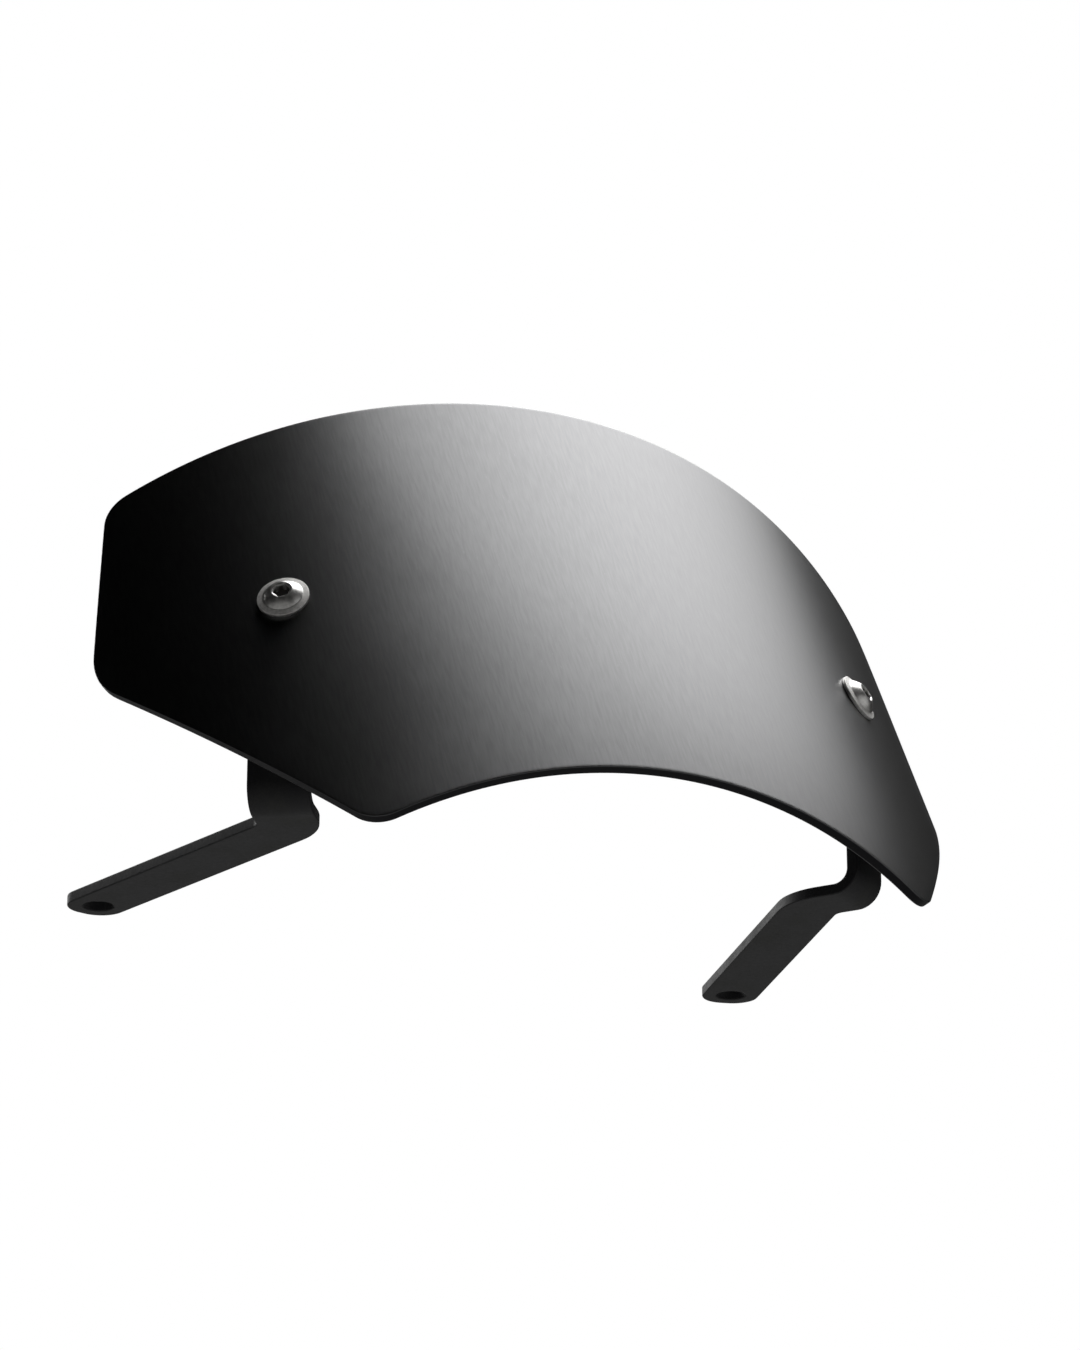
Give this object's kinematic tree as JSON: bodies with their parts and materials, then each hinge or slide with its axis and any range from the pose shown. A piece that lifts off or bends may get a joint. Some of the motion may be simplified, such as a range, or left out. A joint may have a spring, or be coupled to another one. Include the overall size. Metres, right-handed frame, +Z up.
{
  "type": "motorcycle windshield",
  "caption": "Small opaque motorcycle fly screen: a rolled sheet of black aluminium with an arched lower edge, screwed to folded steel brackets that bolt on behind the headlight.",
  "frame": {"origin": "midway between the two bracket bolt holes, on the plane of the arms' undersides", "axes": "+X to the right as seen from the front, +Y rearwards, +Z up and along the bracket bolts"},
  "size_m": [0.2468, 0.1589, 0.145],
  "materials": {
    "black_aluminium": "black anodised satin with fine brush marks",
    "stainless": "bright turned stainless steel",
    "black_steel": "black powder coat",
    "black_rubber": "matt black rubber",
    "nylon": "blue nylon"
  },
  "bodies": {
    "root": {"screen": "black_aluminium", "screen_screw_right": "stainless", "screen_screw_left": "stainless", "rubber_spacer_right": "black_rubber", "rubber_spacer_left": "black_rubber", "bracket_right": "black_steel", "bracket_left": "black_steel", "flat_washer_right": "stainless", "flat_washer_left": "stainless", "lock_nut_right": "stainless", "lock_nut_left": "stainless", "nylon_ring_right": "nylon", "nylon_ring_left": "nylon"}
  },
  "joints": []
}
